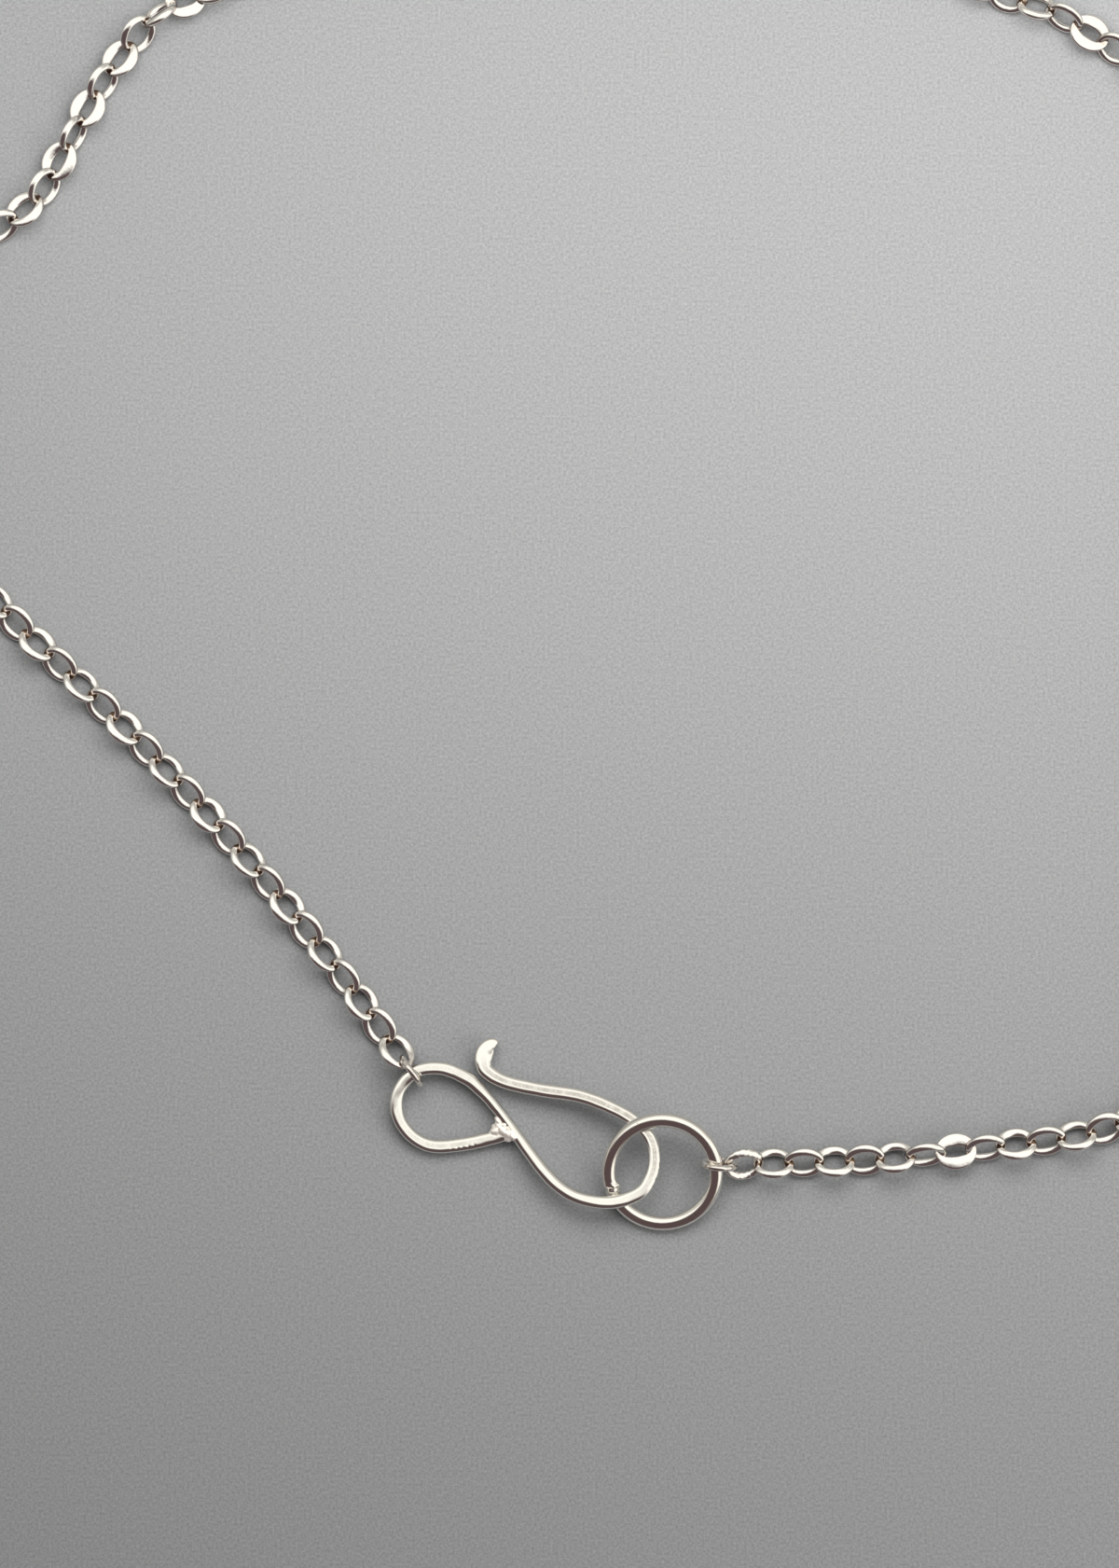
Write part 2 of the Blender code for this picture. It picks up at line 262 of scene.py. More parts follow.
hook_rows = even_rows(smooth(HOOK_WIRE, 16), HOOK_STEP)
hook_places = np.stack(
    [hook_rows[:, 0], hook_rows[:, 1], np.maximum(hook_rows[:, 2], 0) + HOOK_THICKNESS / 2], axis=1
)
heading = np.unwrap(np.arctan2(*np.gradient(hook_rows[:, :2], axis=0).T[::-1]))
bending = np.convolve(
    np.gradient(heading) / HOOK_STEP, np.ones(BENDING_ROWS) / BENDING_ROWS, "same"
)
hook_rings, hook_struck = [], []
for number, (place, row) in enumerate(zip(hook_places, hook_rows)):
    before = hook_places[max(number - 1, 0)]
    after = hook_places[min(number + 1, len(hook_places) - 1)]
    along = Vector(after - before).normalized()
    side = HOOK_FACING.cross(along).normalized()
    up = along.cross(side)
    # The last rows at each end draw in, as a filed end does.
    from_end = min(number, len(hook_places) - 1 - number) * HOOK_STEP
    filed = 1 - END_DRAWN_IN * bell(from_end, END_DRAWN_IN_LENGTH)
    # The hammer leaves the width and the thickness slightly uneven.
    uneven = HAMMERED_UNEVEN * noise.noise(Vector((*place[:2], 0)) * HAMMER_BLOWS_PER_MM)
    half_width = row[3] / 2 * (filed + uneven)
    half_height = HOOK_THICKNESS / 2 * (filed - HAMMERED_THINNER - uneven)
    turn, across, upward = wire_section(half_width, half_height, row[4], HOOK_SIDES)
    # Inside a tight bend the metal can't reach past the middle that it turns about.
    reach = BEND_REACH / max(abs(bending[number]), 0.01)
    inside = across * bending[number] > 0
    across[inside] *= min(1, reach / half_width)
    on_top = np.clip(np.sin(turn), 0, 1) ** 2
    on_lower_arm = number > LOWER_ARM_FROM * len(hook_rows) and place[1] < LOWER_ARM_TOP
    for x, depth in PLIER_MARKS:
        off_mark = place[0] - x + PLIER_MARK_SLANT * across
        upward -= on_lower_arm * depth * on_top * bell(off_mark, PLIER_MARK_WIDTH)
    on_bend = place[0] > BEND_LEFT and place[1] > BEND_BOTTOM
    outside = np.clip(np.sign(side.x) * np.cos(turn), 0, 1)
    for y, depth in HAMMER_NICKS:
        off_nick = place[1] - y
        across -= on_bend * np.sign(side.x) * depth * outside * bell(off_nick, HAMMER_NICK_WIDTH)
    slant = TIP_SLANT * max(0, 1 - number * HOOK_STEP / TIP_SLANT_END) * across / half_width
    hook_rings.append([
        to_row(*(Vector(place) + side * x + up * z + along * back))
        for x, z, back in zip(across, upward, slant)
    ])
    in_middle = np.abs(across) < STRUCK_SHARE * half_width
    hook_struck.append(in_middle * (np.abs(np.sin(turn)) > STRUCK_FACING) * row[5])

hook_mesh = bmesh.new()
add_wire(hook_mesh, hook_rings, False)
silver_hook = piece_from(hook_mesh, "planished_hook", planished_silver())
struck = silver_hook.data.attributes.new("struck", "FLOAT", "POINT")
struck.data.foreach_set("value", np.concatenate(hook_struck))
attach(silver_hook, "root")
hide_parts("hook_clasp")

# The solder at the eye: lumps of it, joined with short copies of the two wires that they wet,
# and smoothed, so that the metal climbs each wire in a soft hollow, as melted solder does.
# Of each lump: x, y and height, its radius along, across and upwards, and its direction.
SOLDER_LUMPS = (
    (-15.30, 4.16, 0.88, 0.74, 0.44, 0.50, -50),
    (-15.52, 4.76, 0.92, 0.52, 0.24, 0.46, -56),
    (-15.62, 3.86, 0.90, 0.70, 0.46, 0.46, 12),
    (-15.70, 4.14, 0.66, 0.50, 0.36, 0.50, -30),
    (-15.06, 3.90, 0.98, 0.66, 0.50, 0.52, -36),
    (-14.70, 3.62, 1.02, 0.92, 0.46, 0.54, -33),
    (-14.16, 3.30, 1.08, 0.50, 0.34, 0.48, -46),
    (-14.62, 3.12, 0.86, 0.46, 0.34, 0.46, -20),
    (-14.98, 4.36, 1.34, 0.18, 0.14, 0.14, 0),
    (-14.60, 4.04, 1.44, 0.16, 0.14, 0.12, 0),
    (-14.30, 3.62, 1.44, 0.16, 0.18, 0.12, 0),
    (-13.90, 3.20, 1.38, 0.16, 0.14, 0.12, 0),
)
SOLDER_MIDDLE = (-14.9, 3.9)
WETTED_REACH = 1.6
SOLDER_VOXEL = 0.045
SOLDER_SMOOTHINGS = 9


def solder_silver():
    """Hard silver solder that froze in the corner: the pickle left it a frosty white skin, with
    small lumps and pinholes, so it scatters light where the wire mirrors the room."""
    made = bpy.data.materials.new("frozen_silver_solder")
    made.use_nodes = True
    tree = made.node_tree
    shader = tree.nodes["Principled BSDF"]
    shader.inputs["Metallic"].default_value = 0.62
    shader.inputs["Roughness"].default_value = 0.34
    place = add_node(tree, "ShaderNodeTexCoord").outputs["Object"]
    # Lumps about 0.25 mm across.
    lumps = add_node(tree, "ShaderNodeTexNoise", Vector=place, Scale=4000, Detail=3, Roughness=0.6)
    colour = add_node(tree, "ShaderNodeValToRGB", Fac=lumps.outputs["Fac"])
    tree.links.new(
        set_ramp(colour, (0.32, "#B9A79C"), (0.4, "#F6F1E9"), (0.7, "#FFFDF8")),
        shader.inputs["Base Color"],
    )
    relief = add_node(tree, "ShaderNodeBump", Height=lumps.outputs["Fac"], Strength=0.35,
                      Distance=0.00004)
    tree.links.new(relief.outputs["Normal"], shader.inputs["Normal"])
    return made


solder_mesh = bmesh.new()
for x, y, z, length, width, height, direction in SOLDER_LUMPS:
    lump = Matrix.Translation(to_row(x, y, z)) @ Matrix.Rotation(math.radians(direction), 4, "Z")
    lump = lump @ Matrix.Diagonal((length * MM, width * MM, height * MM, 1))
    bmesh.ops.create_icosphere(solder_mesh, subdivisions=3, radius=1, matrix=lump)
near = np.hypot(*(hook_places[:, :2] - np.array(SOLDER_MIDDLE)).T) < WETTED_REACH
# The shank passes the solder before the last quarter of the wire, and the eye's end within it.
last_quarter = len(near) * 3 // 4
for stretch in (slice(0, last_quarter), slice(last_quarter, None)):
    rings = [ring for ring, wanted in zip(hook_rings[stretch], near[stretch]) if wanted]
    add_wire(solder_mesh, rings, False)
solder = piece_from(solder_mesh, "solder_fillet", solder_silver())
fused = solder.modifiers.new("fused", "REMESH")
fused.mode = "VOXEL"
fused.voxel_size = SOLDER_VOXEL * MM
fused.use_smooth_shade = True
soft = solder.modifiers.new("soft", "SMOOTH")
soft.factor = 0.5
soft.iterations = SOLDER_SMOOTHINGS
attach(solder, "root")
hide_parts("hook_clasp")

# The clasp's ring: round silver wire, bent to a circle and butt-soldered, then polished bright.
# It leans on the hook, and its joint shows as a small step at the lower left.
RING_RADIUS = 5.06
RING_WIRE_RADIUS = 0.56
RING_TILT_DEG = 16.5
RING_RISE_TOWARDS_DEG = 82
RING_STEPS = 220
RING_SIDES = 28
RING_JOINT_DEG = 197
RING_JOINT_GROOVE = 0.08
RING_JOINT_SWELL = 0.05
RING_JOINT_DRIP = 0.20
RING_JOINT_CRUMPLE = 0.09
# Where these lie along the wire from the joint, and how wide they are.
RING_JOINT_SWELLS = ((0.35, 0.3), (-0.3, 0.2))
RING_JOINT_GROOVE_AT = 0.15
RING_JOINT_GROOVE_WIDTH = 0.10
RING_JOINT_DRIP_AT = 0.05
RING_JOINT_DRIP_WIDTH = 0.20
RING_JOINT_CRUMPLE_WIDTH = 0.55
# The ring was tapped true on a mandrel, which left its wire wider than it is thick, heavier on
# its far and near sides, and faintly uneven, in five waves round it.
RING_WIDENING = 1.2
RING_SPREAD = 0.03
RING_WAVE = 0.003
RING_WAVES = 5


def polished_silver():
    """Sterling silver buffed to a mirror: it shows the room in sharp bands, with a few pits and
    a faint unevenness that the rubbing left."""
    made = bpy.data.materials.new("polished_silver")
    made.use_nodes = True
    tree = made.node_tree
    shader = tree.nodes["Principled BSDF"]
    shader.inputs["Metallic"].default_value = 1
    place = add_node(tree, "ShaderNodeTexCoord").outputs["Object"]
    # Pits about 0.2 mm across and 0.7 mm apart, and marks about 0.2 mm apart.
    pits = add_node(tree, "ShaderNodeTexVoronoi", Vector=place, Scale=1400, Randomness=1.0)
    pit = add_node(tree, "ShaderNodeMapRange", Value=pits.outputs["Distance"], From_Min=0.05,
                   From_Max=0.16, To_Min=1.0, To_Max=0.0)
    rubbed = add_node(tree, "ShaderNodeTexNoise", Vector=place, Scale=5000, Detail=2, Roughness=0.5)
    colour = add_node(tree, "ShaderNodeValToRGB", Fac=pit.outputs["Result"])
    tree.links.new(
        set_ramp(colour, (0.0, "#F9F6F0"), (1.0, "#D9CCC2")), shader.inputs["Base Color"]
    )
    satin = add_node(tree, "ShaderNodeMapRange", Value=rubbed.outputs["Fac"],
                     To_Min=0.04, To_Max=0.12)
    tree.links.new(satin.outputs["Result"], shader.inputs["Roughness"])
    height = add_node(tree, "ShaderNodeMath", {"operation": "MULTIPLY_ADD"},
                      _0=pit.outputs["Result"], _1=-1.0, _2=rubbed.outputs["Fac"])
    relief = add_node(tree, "ShaderNodeBump", Height=height.outputs["Value"], Strength=0.3,
                      Distance=0.00001)
    tree.links.new(relief.outputs["Normal"], shader.inputs["Normal"])
    return made


ring_centre = to_row(0, 0, RING_WIRE_RADIUS + RING_RADIUS * math.sin(math.radians(RING_TILT_DEG)))
ring_place = (
    Matrix.Translation(ring_centre)
    @ Matrix.Rotation(math.radians(RING_RISE_TOWARDS_DEG), 4, "Z")
    @ Matrix.Rotation(math.radians(-RING_TILT_DEG), 4, "Y")
)
ring_rings = []
for step in range(RING_STEPS):
    angle = 2 * math.pi * step / RING_STEPS
    off_joint = math.remainder(
        angle - math.radians(RING_JOINT_DEG - RING_RISE_TOWARDS_DEG), 2 * math.pi
    ) * RING_RADIUS
    swell = RING_JOINT_SWELL * sum(bell(off_joint - at, wide) for at, wide in RING_JOINT_SWELLS)
    far_and_near = RING_SPREAD * math.cos(angle) ** 2
    wire = RING_WIRE_RADIUS + far_and_near + RING_WAVE * math.sin(RING_WAVES * angle) + swell
    wire -= RING_JOINT_GROOVE * bell(off_joint - RING_JOINT_GROOVE_AT, RING_JOINT_GROOVE_WIDTH)
    outward = Vector((math.cos(angle), math.sin(angle), 0))
    section = []
    for side_step in range(RING_SIDES):
        turn = 2 * math.pi * side_step / RING_SIDES
        crumpled = noise.noise(Vector((angle * 16, 2 * math.cos(turn), 2 * math.sin(turn))))
        thick = wire + RING_JOINT_CRUMPLE * crumpled * bell(off_joint, RING_JOINT_CRUMPLE_WIDTH)
        drip = bell(off_joint - RING_JOINT_DRIP_AT, RING_JOINT_DRIP_WIDTH)
        thick += RING_JOINT_DRIP * drip * max(-math.cos(turn), 0)
        point = outward * (RING_RADIUS + RING_WIDENING * thick * math.cos(turn))
        section.append(ring_place @ ((point + Vector((0, 0, thick * math.sin(turn)))) * MM))
    ring_rings.append(section)
ring_mesh = bmesh.new()
add_wire(ring_mesh, ring_rings, True)
ring = piece_from(ring_mesh, "polished_ring", polished_silver())
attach(ring, "root")
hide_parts("clasp_ring")

# The two end links: small rings of thin silver wire, pinched closed, that hang the chain on the
# hook's eye and on the clasp's ring. They stand on edge, so from above each is a short bar.
END_LINK_RADIUS = 1.47
END_LINK_WIRE_RADIUS = 0.31
END_LINK_STEPS = 72
END_LINK_SIDES = 16
END_LINK_CUT_DEG = 62
END_LINK_CUT_DEPTH = 0.25
END_LINK_CUT_WIDTH = 0.06
# Centre, the direction from it along the chain, and the roll from standing up.
HOOK_END_LINK = (-23.71, 9.48, 1.76, 126, 0)
RING_END_LINK = (5.32, 0.72, 2.048, -4, 16)


def drawn_silver():
    """Thin drawn silver wire, rubbed but never buffed: satin, with warm tarnish in its clouds."""
    made = bpy.data.materials.new("drawn_silver_wire")
    made.use_nodes = True
    tree = made.node_tree
    shader = tree.nodes["Principled BSDF"]
    shader.inputs["Metallic"].default_value = 1
    shader.inputs["Roughness"].default_value = 0.13
    place = add_node(tree, "ShaderNodeTexCoord").outputs["Object"]
    # Clouds about 0.5 mm across.
    clouds = add_node(tree, "ShaderNodeTexNoise", Vector=place, Scale=2000, Detail=3, Roughness=0.6)
    colour = add_node(tree, "ShaderNodeValToRGB", Fac=clouds.outputs["Fac"])
    tree.links.new(
        set_ramp(colour, (0.3, "#D8C6B9"), (0.45, "#F5EFE7"), (0.7, "#FCFAF5")),
        shader.inputs["Base Color"],
    )
    relief = add_node(tree, "ShaderNodeBump", Height=clouds.outputs["Fac"], Strength=0.4,
                      Distance=0.00002)
    tree.links.new(relief.outputs["Normal"], shader.inputs["Normal"])
    return made


end_silver = drawn_silver()
for name, node, (x, y, z, direction, roll) in (
    ("eye_end_link", "hook_end_link", HOOK_END_LINK),
    ("clasp_end_link", "ring_end_link", RING_END_LINK),
):
    standing = (
        Matrix.Translation(to_row(x, y, z))
        @ Matrix.Rotation(math.radians(direction), 4, "Z")
        @ Matrix.Rotation(math.radians(90 + roll), 4, "X")
    )
    rings = []
    for step in range(END_LINK_STEPS):
        angle = 2 * math.pi * step / END_LINK_STEPS
        turned = math.remainder(angle - math.radians(END_LINK_CUT_DEG), 2 * math.pi)
        off_cut = turned * END_LINK_RADIUS
        wire = END_LINK_WIRE_RADIUS * (1 - END_LINK_CUT_DEPTH * bell(off_cut, END_LINK_CUT_WIDTH))
        outward = Vector((math.cos(angle), math.sin(angle), 0))
        section = []
        for side_step in range(END_LINK_SIDES):
            turn = 2 * math.pi * side_step / END_LINK_SIDES
            point = outward * (END_LINK_RADIUS + wire * math.cos(turn))
            point += Vector((0, 0, wire * math.sin(turn)))
            section.append(standing @ (point * MM))
        rings.append(section)
    link_mesh = bmesh.new()
    add_wire(link_mesh, rings, True)
    end_link = piece_from(link_mesh, name, end_silver)
    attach(end_link, "root")
    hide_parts(node)

# The chain: oval links of round wire, each threaded through the last and soldered, then struck
# flat between rollers, so a link's long sides are thin bands. They lean by turns to the left and
# right, and a few lie quite flat. Neighbours sink about 0.2 mm into each other where they meet.
LINK_LENGTH = 3.98
LINK_WIDTH = 3.42
FLAT_LINK_THICKNESS = 0.38
FLAT_SIDE_WIDTH = 1.2
ROUND_LINK_THICKNESS = 0.66
ROUND_SIDE_WIDTH = 0.77
# The rollers struck the links as they lay leaning, so the bands turn back towards level by this
# share of the lean.
LEVELLED = 0.9
LINK_END_WIDTH = 0.60
PITCH = 2.87
LEAN_DEG = 36
LEAN_DIFFERENCE_DEG = 1.5
LEAN_WAVE_DEG = 4
LEAN_WAVE_STEP = 1.7
# Added lean round one link: its number from the hook, the degrees, and over how many links.
TWISTS = ((38.5, 24, 4.0), (43.5, -32, 1.3), (74.7, 32, 1.3), (120.0, -35, 1.1))
# The link next to the clasp's ring was squeezed in pliers, so its wire is crinkled all round.
CRINKLES = 17
CRINKLE_SHARE = 0.13
# How square a leaning link's section is, and how much squarer a flat one's.
LEANING_SQUARENESS = 0.45
FLAT_SQUARENESS = 0.27
# How unevenly wide the blows left a band, and how far they twisted it, in radians.
BAND_UNEVEN = 0.06
BAND_TWIST = 0.16
LINK_STEPS = 52
LINK_SIDES = 14
END_GAP = 0.18
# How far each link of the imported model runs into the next, which the pitch takes in.
WELD = 0.10
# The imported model's end links have 14 sides, and the chain hangs inside those.
PACKED_END_LINK_SIDES = 14
END_LINK_INSIDE = (
    END_LINK_RADIUS * math.cos(math.pi / PACKED_END_LINK_SIDES) - END_LINK_WIRE_RADIUS
)
# How much tarnish a link keeps at its ends and at its inner edge, and how much painted shade
# darkens what doesn't look up.
SHELTER_AT_ENDS = 0.25
SHELTER_INSIDE = 0.1
SHELTER_BELOW = 1.3
LOOKS_UP = 0.55
# The places that the chain passes, from the hook's end to the ring's: x and y of each.
CHAIN_ROUTE = (
    (-30.7, 19.1), (-38.0, 28.1), (-45.8, 36.8), (-54.2, 45.3), (-62.0, 52.7), (-68.0, 60.0),
    (-70.4, 69.5), (-69.2, 80.0), (-66.1, 87.4), (-61.6, 90.7), (-59.3, 92.7), (-55.7, 99.2),
    (-53.2, 103.8), (-49.8, 108.2), (-46.1, 111.3), (-27.4, 116.9), (-5.4, 118.9), (16.8, 116.9),
    (35.3, 111.2), (40.3, 108.7), (48.8, 102.0), (54.0, 87.2), (55.2, 54.5), (53.8, 22.6),
    (49.8, 8.8), (41.6, 4.0), (30.8, 2.3), (19.2, 1.1),
)


def lean_deg(number):
    """How far a link leans from lying flat."""
    side = -1 if number % 2 else 1
    wave = LEAN_WAVE_DEG * math.sin(LEAN_WAVE_STEP * number)
    lean = side * LEAN_DEG - LEAN_DIFFERENCE_DEG + wave
    for place, degrees, spread in TWISTS:
        lean += degrees * math.exp(-(((number - place) / spread) ** 2))
    return lean


def struck_flat(number):
    """How flat the rollers struck a link: 1 where it lies flat, 0 where it leans in full."""
    upright = math.cos(math.radians(LEAN_DEG))
    return min(max((math.cos(math.radians(lean_deg(number))) - upright) / (1 - upright), 0), 1)


def link_thickness(number):
    """How thick a link's wire is, thinner where it was struck flatter."""
    return ROUND_LINK_THICKNESS + (FLAT_LINK_THICKNESS - ROUND_LINK_THICKNESS) * struck_flat(number)


def side_width(number):
    """How wide a link's long sides are, wider where it was struck flatter."""
    return ROUND_SIDE_WIDTH + (FLAT_SIDE_WIDTH - ROUND_SIDE_WIDTH) * struck_flat(number)


def height_needed(number):
    """Height at which a link's centre must be for its lower side to rest on the table."""
    lean = math.radians(abs(lean_deg(number)))
    band_lean = lean * (1 - LEVELLED)
    band = side_width(number) / 2
    to_band = (LINK_WIDTH / 2 - band) * math.sin(lean)
    return to_band + band * math.sin(band_lean) + link_thickness(number) / 2 * math.cos(band_lean)


def chain_end(x, y, z, direction, _roll):
    """Where the chain's last link hangs in an end link."""
    turn = math.radians(direction)
    reach = END_LINK_INSIDE - END_GAP - WELD / 2
    return (x + reach * math.cos(turn), y + reach * math.sin(turn), z)


def link_rings(start, end, number, crinkled):
    """Cross sections round one link, thin and wide at its sides and narrow at its ends."""
    along = (end - start).normalized()
    side = Vector((0, 0, 1)).cross(along).normalized()
    lying = Matrix((along, side, along.cross(side))).transposed().to_4x4()
    lying.translation = (start + end) / 2
    lying = lying @ Matrix.Rotation(math.radians(lean_deg(number)), 4, "X")
    flat = struck_flat(number)
    levelling = LEVELLED * math.radians(lean_deg(number))
    rings = []
    for step in range(LINK_STEPS):
        angle = 2 * math.pi * step / LINK_STEPS
        cos, sin = math.cos(angle), math.sin(angle)
        # Each blow of the hammer leaves a band of a slightly different width.
        uneven = BAND_UNEVEN * noise.noise(Vector((cos * 1.4, sin * 1.4, number * 3.7)))
        outer = Vector((cos * LINK_LENGTH / 2, sin * LINK_WIDTH / 2, 0))
        inner = Vector((cos * (LINK_LENGTH / 2 - LINK_END_WIDTH),
                        sin * (LINK_WIDTH / 2 - side_width(number) * (1 + uneven)), 0))
        middle = (outer + inner) / 2
        out = (outer - inner).normalized()
        half_width = (outer - inner).length / 2
        half_thickness = link_thickness(number) / 2
        if crinkled:
            half_width *= 1 + CRINKLE_SHARE * math.sin(CRINKLES * angle)
            half_thickness *= 1 + CRINKLE_SHARE * math.cos(1.6 * CRINKLES * angle)
        bent = noise.noise(Vector((cos * 1.1, sin * 1.1, number * 1.9 + 40)))
        twist = BAND_TWIST * bent * sin * sin
        twist -= levelling * sin
        squareness = LEANING_SQUARENESS + FLAT_SQUARENESS * flat
        _, across, upward = wire_section(half_width, half_thickness, squareness, LINK_SIDES)
        level = np.array([[math.cos(twist), -math.sin(twist)], [math.sin(twist), math.cos(twist)]])
        rings.append([
            to_row(*(lying @ (middle + out * x + Vector((0, 0, z)))))
            for x, z in zip(*(level @ [across, upward]))
        ])
    return rings


def chain_silver():
    """Soft silver links, struck flat and rubbed by wear: bright where they look up, with painted
    shade, pinkish brown, over their sides and undersides, and real tarnish a little where two links
    meet."""
    made = bpy.data.materials.new("struck_silver_links")
    made.use_nodes = True
    tree = made.node_tree
    shader = tree.nodes["Principled BSDF"]
    shader.inputs["Metallic"].default_value = 1
    place = add_node(tree, "ShaderNodeTexCoord").outputs["Object"]
    sheltered = add_node(tree, "ShaderNodeAttribute", {"attribute_name": "sheltered"})
    # Clouds about 0.6 mm across, and dents about 0.2 mm across.
    clouds = add_node(tree, "ShaderNodeTexNoise", Vector=place, Scale=1700, Detail=3, Roughness=0.6)
    dents = add_node(tree, "ShaderNodeTexNoise", Vector=place, Scale=5000, Detail=2, Roughness=0.5)
    # The attribute brings tarnish and painted shade together: what it adds on the links' sides and
    # undersides is painted shade, shown by the ramp's brown end.
    stain = add_node(tree, "ShaderNodeMath", {"operation": "MULTIPLY_ADD", "use_clamp": True},
                     _0=clouds.outputs["Fac"], _1=0.55, _2=sheltered.outputs["Fac"])
    colour = add_node(tree, "ShaderNodeValToRGB", Fac=stain.outputs["Value"])
    tree.links.new(
        set_ramp(colour, (0.4, "#FCFAF6"), (0.6, "#EFE6DD"), (0.8, "#B9A496"), (1.0, "#7D685B")),
        shader.inputs["Base Color"],
    )
    satin = add_node(tree, "ShaderNodeMapRange", Value=dents.outputs["Fac"],
                     To_Min=0.05, To_Max=0.18)
    tree.links.new(satin.outputs["Result"], shader.inputs["Roughness"])
    relief = add_node(tree, "ShaderNodeBump", Height=dents.outputs["Fac"], Strength=0.35,
                      Distance=0.00002)
    tree.links.new(relief.outputs["Normal"], shader.inputs["Normal"])
    return made


route = [chain_end(*HOOK_END_LINK), *((x, y, 0) for x, y in CHAIN_ROUTE), chain_end(*RING_END_LINK)]
joints = [Vector(row) for row in even_rows(smooth(route, 24), PITCH)]
link_count = len(joints) - 1
for number, joint in enumerate(joints[1:-1], 1):
    joint.z = max(height_needed(number - 1), height_needed(number))
joints[0].z = HOOK_END_LINK[2]
joints[-1].z = RING_END_LINK[2]

link_silver = chain_silver()
for name, node, numbers in (
    ("links_from_hook", "chain_hook_side", range(link_count // 2)),
    ("links_to_ring", "chain_ring_side", range(link_count // 2, link_count)),
):
    chain_mesh = bmesh.new()
    for number in numbers:
        crinkled = number == link_count - 1
        rings = link_rings(joints[number], joints[number + 1], number, crinkled)
        add_wire(chain_mesh, rings, True)
    links = piece_from(chain_mesh, name, link_silver)
    # Tarnish a little at a link's two ends and inner edge, and painted shade, the most of it, on
    # its sides and underside.
    sheltered = links.data.attributes.new("sheltered", "FLOAT", "POINT")
    step, side_step = np.divmod(np.arange(len(links.data.vertices)), LINK_SIDES)
    angle = 2 * np.pi * (step % LINK_STEPS) / LINK_STEPS
    inner = np.clip(-np.cos(2 * np.pi * (side_step + 0.5) / LINK_SIDES), 0, 1)
    at_end = np.abs(np.cos(angle)) ** 6
    facing_up = np.array([vertex.normal.z for vertex in links.data.vertices])
    # The first two terms are tarnish; the last is painted shade, which darkens every part whose
    # normal doesn't look up.
    hidden = (
        SHELTER_AT_ENDS * at_end + SHELTER_INSIDE * inner
        + SHELTER_BELOW * np.clip(LOOKS_UP - facing_up, 0, 1)
    )
    sheltered.data.foreach_set("value", np.clip(hidden, 0, 1))
    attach(links, "root")
    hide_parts(node)

# The sheet that the necklace lies on: plain grey matt card with a fine tooth.
FLOOR_HALF_SIZE = 4.0


def grey_card():
    """Matt grey card: the tooth of its surface breaks the light into fine grains."""
    made = bpy.data.materials.new("matt_grey_card")
    made.use_nodes = True
    tree = made.node_tree
    shader = tree.nodes["Principled BSDF"]
    shader.inputs["Roughness"].default_value = 0.75
    place = add_node(tree, "ShaderNodeTexCoord").outputs["Object"]
    # Grains about 0.25 mm across.
    tooth = add_node(tree, "ShaderNodeTexNoise", Vector=place, Scale=4000, Detail=3, Roughness=0.8)
    colour = add_node(tree, "ShaderNodeValToRGB", Fac=tooth.outputs["Fac"])
    tree.links.new(
        set_ramp(colour, (0.3, "#686A6E"), (0.7, "#878B8D")), shader.inputs["Base Color"]
    )
    relief = add_node(tree, "ShaderNodeBump", Height=tooth.outputs["Fac"], Strength=0.3,
                      Distance=0.00005)
    tree.links.new(relief.outputs["Normal"], shader.inputs["Normal"])
    return made


floor_mesh = bmesh.new()
bmesh.ops.create_grid(floor_mesh, x_segments=1, y_segments=1, size=FLOOR_HALF_SIZE)
floor = piece_from(floor_mesh, "grey_card", grey_card())

# Soft studio light: a soft box above the far side of the necklace and another farther off at the
# right, in a pale room with a bright window at the right and a dark part at the near left, which
# the polished wires show as brown bands.
DARK_DIRECTION = Vector((-0.30, -0.80, 0.52)).normalized()
WINDOW_DIRECTION = Vector((0.84, -0.24, 0.48)).normalized()
ROOM_BRIGHTNESS = 1.2
studio = bpy.data.worlds.new("studio")
studio.use_nodes = True
bpy.context.scene.world = studio
tree = studio.node_tree
direction = add_node(tree, "ShaderNodeTexCoord").outputs["Generated"]
split = add_node(tree, "ShaderNodeSeparateXYZ", Vector=direction)
pale = add_node(tree, "ShaderNodeValToRGB", Fac=split.outputs["Z"])
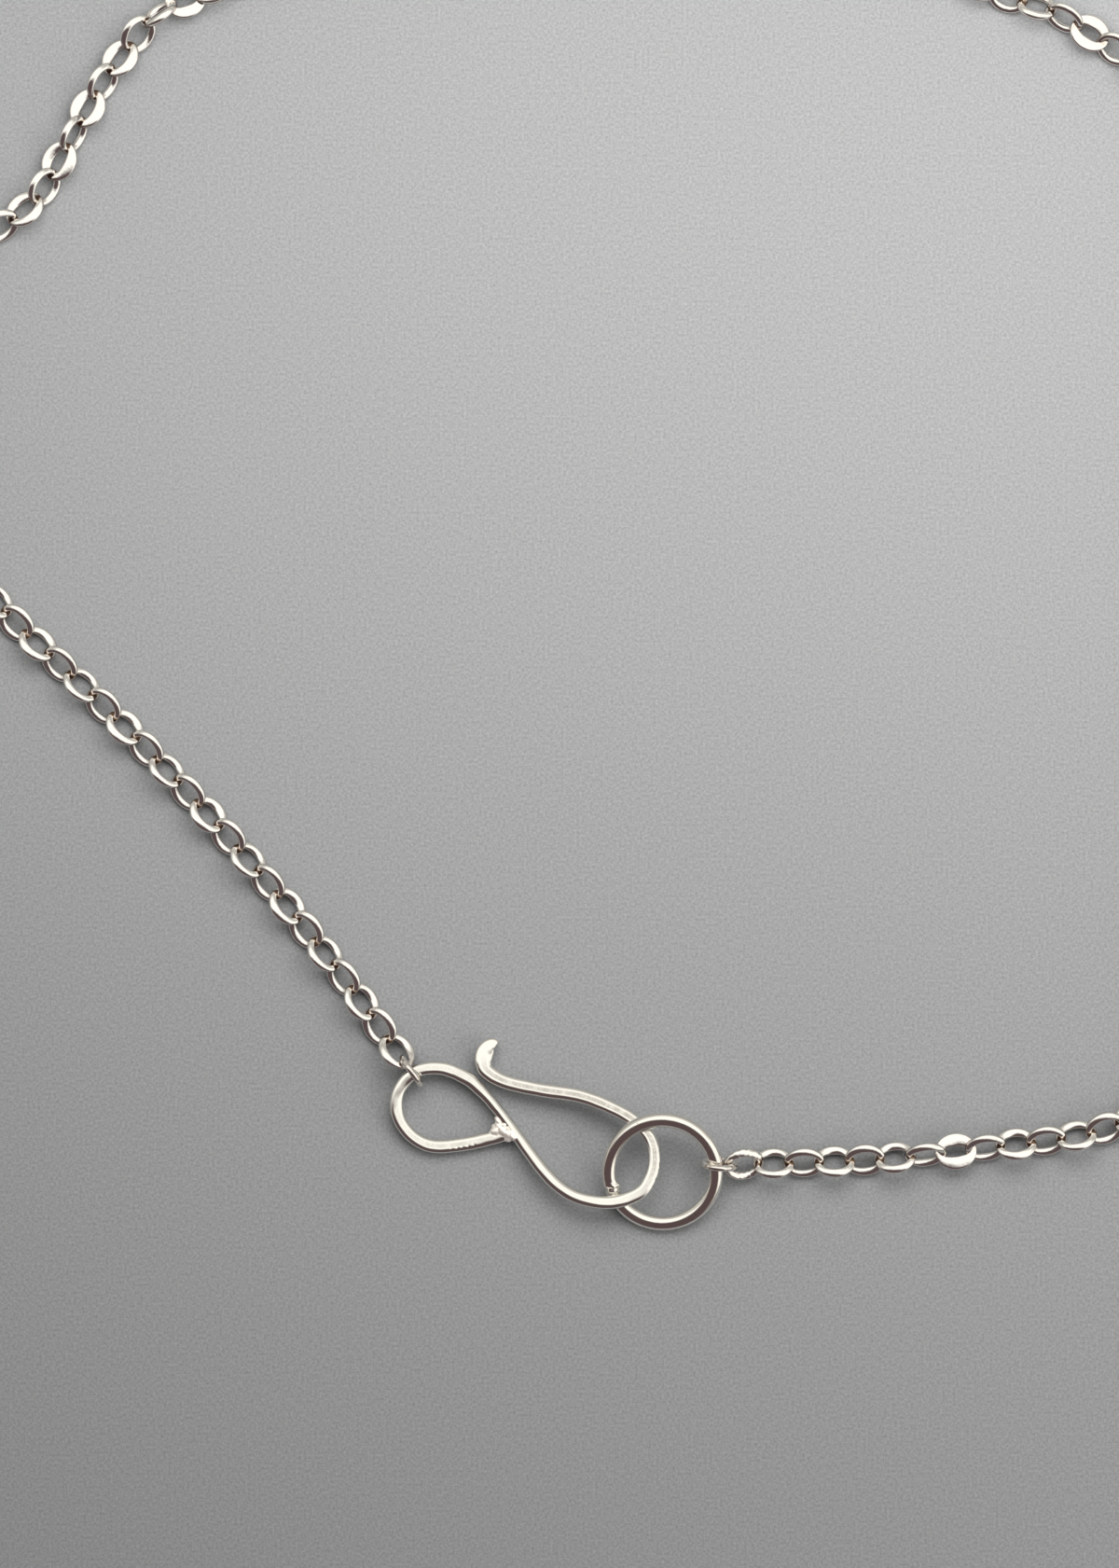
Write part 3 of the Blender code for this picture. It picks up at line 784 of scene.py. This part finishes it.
# From the horizon, and all that is below it, up to the pale ceiling straight overhead.
set_ramp(
    pale, (0.0, "#625E5A"), (0.14, "#6E6A66"), (0.26, "#BCB8B1"), (0.4, "#C0BCB5"),
    (0.5, "#9B9791"), (0.62, "#BDB9B2"), (0.75, "#F5F3ED"), (1.0, "#F8F6F0"),
)
towards_dark = add_node(tree, "ShaderNodeVectorMath", {"operation": "DOT_PRODUCT"},
                        _0=direction, _1=DARK_DIRECTION)
darkness = add_node(tree, "ShaderNodeMapRange", Value=towards_dark.outputs["Value"],
                    From_Min=0.52, From_Max=0.70)
room = add_node(tree, "ShaderNodeMix", {"data_type": "RGBA"}, Factor=darkness.outputs["Result"],
                _6=pale.outputs["Color"], _7=linear("#504343"))
towards_window = add_node(tree, "ShaderNodeVectorMath", {"operation": "DOT_PRODUCT"},
                          _0=direction, _1=WINDOW_DIRECTION)
glow = add_node(tree, "ShaderNodeMapRange", Value=towards_window.outputs["Value"],
                From_Min=0.86, From_Max=0.94)
room = add_node(tree, "ShaderNodeMix", {"data_type": "RGBA"}, Factor=glow.outputs["Result"],
                _6=room.outputs[2], _7=linear("#F4F1EA"))
tree.links.new(room.outputs[2], tree.nodes["Background"].inputs["Color"])
tree.nodes["Background"].inputs["Strength"].default_value = ROOM_BRIGHTNESS

for name, place, aim, size, power in (
    ("far_soft_box", (0.04, 0.065, 0.13), (0.04, 0.065, 0), (0.24, 0.14), 0.585),
    ("right_soft_box", (0.26, -0.12, 0.12), (0, 0, 0), (0.20, 0.20), 0.58),
):
    lamp = bpy.data.lights.new(name, "AREA")
    lamp.shape = "RECTANGLE"
    lamp.size, lamp.size_y = size
    lamp.energy = power
    lamp.color = linear("#FFFAF4")[:3]
    holder = bpy.data.objects.new(name, lamp)
    holder.location = place
    # The boxes light the card; what the silver mirrors is the room.
    holder.visible_glossy = False
    holder.rotation_euler = (Vector(aim) - Vector(place)).to_track_quat("-Z", "Y").to_euler()
    bpy.context.scene.collection.objects.link(holder)

# Camera: held by hand almost straight above, a little towards the clasp's side.
VIEW_CENTRE = (-9.71, 36.72)
VIEW_HEIGHT = 148.8
CAMERA_DISTANCE = 600
CAMERA_ELEVATION_DEG = 86.5
elevation = math.radians(CAMERA_ELEVATION_DEG)
target = to_row(*VIEW_CENTRE, 0)
lens = bpy.data.cameras.new("camera")
lens.sensor_fit = "VERTICAL"
lens.angle = 2 * math.atan(VIEW_HEIGHT / 2 / CAMERA_DISTANCE)
lens.clip_start = 0.01
lens.clip_end = 20
camera = bpy.data.objects.new("camera", lens)
away = Vector((0, -math.cos(elevation), math.sin(elevation)))
camera.location = target + away * CAMERA_DISTANCE * MM
camera.rotation_euler = (-away).to_track_quat("-Z", "Y").to_euler()
bpy.context.scene.collection.objects.link(camera)
bpy.context.scene.camera = camera
bpy.context.scene.view_settings.view_transform = "Standard"
